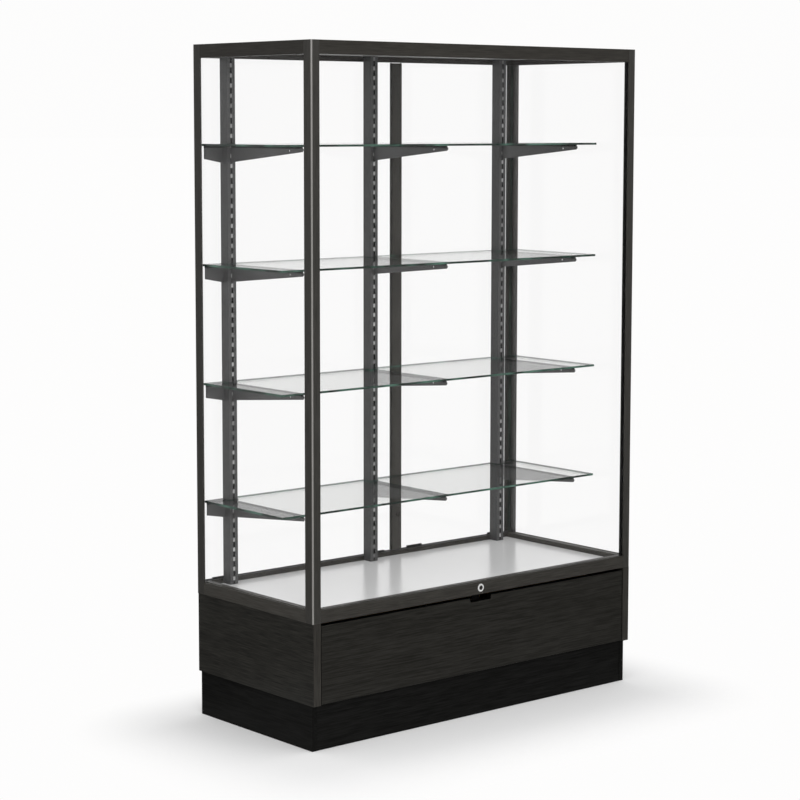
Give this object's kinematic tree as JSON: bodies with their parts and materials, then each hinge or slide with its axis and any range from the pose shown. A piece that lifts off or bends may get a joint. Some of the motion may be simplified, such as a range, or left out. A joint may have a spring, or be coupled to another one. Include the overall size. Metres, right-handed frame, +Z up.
{
  "type": "display_case",
  "caption": "Floor-standing glass display case with a dark wood-grain laminate frame, glass shelves on slotted standards, sliding rear doors and a lockable storage drawer",
  "frame": {"origin": "centre of the bounding box's bottom face, on the floor", "axes": "+X along the width to the right as seen from the front, +Y towards the back, +Z up"},
  "size_m": [1.219, 0.533, 1.905],
  "materials": {
    "dark_laminate": "satin",
    "plinth_laminate": "satin",
    "white_laminate": "semi-gloss",
    "birch_board": "matte",
    "clear_glass": "clear",
    "grey_painted_steel": "satin",
    "black_steel": "matte",
    "zinc_steel": "zinc plated",
    "chrome_lock": "polished",
    "anodised_track": "dark anodised",
    "black_nylon": "matte",
    "black_gasket": "matte"
  },
  "bodies": {
    "cabinet": {"plinth_front": "plinth_laminate", "plinth_back": "plinth_laminate", "plinth_sides": "plinth_laminate", "corner_blocks": "birch_board", "levelling_feet": "zinc_steel", "base_sides": "dark_laminate", "base_bottom": "dark_laminate", "base_back": "dark_laminate", "deck_cleats": "birch_board", "cleat_screws": "zinc_steel", "deck": "white_laminate", "front_sill": "dark_laminate", "back_sill": "dark_laminate", "side_sills": "dark_laminate", "front_left_post": "dark_laminate", "front_right_post": "dark_laminate", "back_left_post": "dark_laminate", "back_right_post": "dark_laminate", "top_front_rail": "dark_laminate", "top_back_rail": "dark_laminate", "top_side_rails": "dark_laminate", "top_panel": "dark_laminate", "front_glass": "clear_glass", "side_glass": "clear_glass", "glazing_beads": "black_gasket", "door_tracks": "anodised_track", "left_standard": "grey_painted_steel", "middle_standard": "grey_painted_steel", "right_standard": "grey_painted_steel", "standard_plugs": "black_nylon", "left_brackets": "grey_painted_steel", "middle_brackets": "grey_painted_steel", "right_brackets": "grey_painted_steel", "shelf_cushions": "black_nylon", "shelf_1_left": "clear_glass", "shelf_1_right": "clear_glass", "shelf_2_left": "clear_glass", "shelf_2_right": "clear_glass", "shelf_3_left": "clear_glass", "shelf_3_right": "clear_glass", "shelf_4_left": "clear_glass", "shelf_4_right": "clear_glass", "cabinet_runners": "zinc_steel", "lock_barrel": "chrome_lock"},
    "drawer": {"drawer_front": "dark_laminate", "drawer_sides": "birch_board", "drawer_back": "birch_board", "drawer_bottom": "white_laminate", "drawer_strike": "black_steel", "drawer_runners": "zinc_steel"},
    "runner_middles": {"middle_runners": "zinc_steel"},
    "lock": {"lock_plug": "chrome_lock", "lock_cam": "zinc_steel"},
    "left_door": {"left_door_glass": "clear_glass", "left_door_stile": "dark_laminate", "left_door_shoes": "black_nylon", "door_lock": "chrome_lock"},
    "right_door": {"right_door_glass": "clear_glass", "right_door_stile": "dark_laminate", "right_door_shoes": "black_nylon"}
  },
  "joints": [
    {"name": "drawer_slide", "type": "slide", "parent": "cabinet", "child": "drawer", "axis": [0, -1, 0], "range_m": [0, 0.4]},
    {"name": "runner_slide", "type": "slide", "parent": "cabinet", "child": "runner_middles", "axis": [0, -1, 0], "range_m": [0, 0.2]},
    {"name": "lock_turn", "type": "hinge", "parent": "cabinet", "child": "lock", "pos_m": [0, -0.249, 0.371], "axis": [0, 1, 0], "range_deg": [0, 90]},
    {"name": "left_door_slide", "type": "slide", "parent": "cabinet", "child": "left_door", "axis": [1, 0, 0], "range_m": [0, 0.44]},
    {"name": "right_door_slide", "type": "slide", "parent": "cabinet", "child": "right_door", "axis": [-1, 0, 0], "range_m": [0, 0.68]}
  ],
  "couplings": [
    {"joint": "runner_slide", "follows": "drawer_slide", "ratio": 0.5}
  ]
}
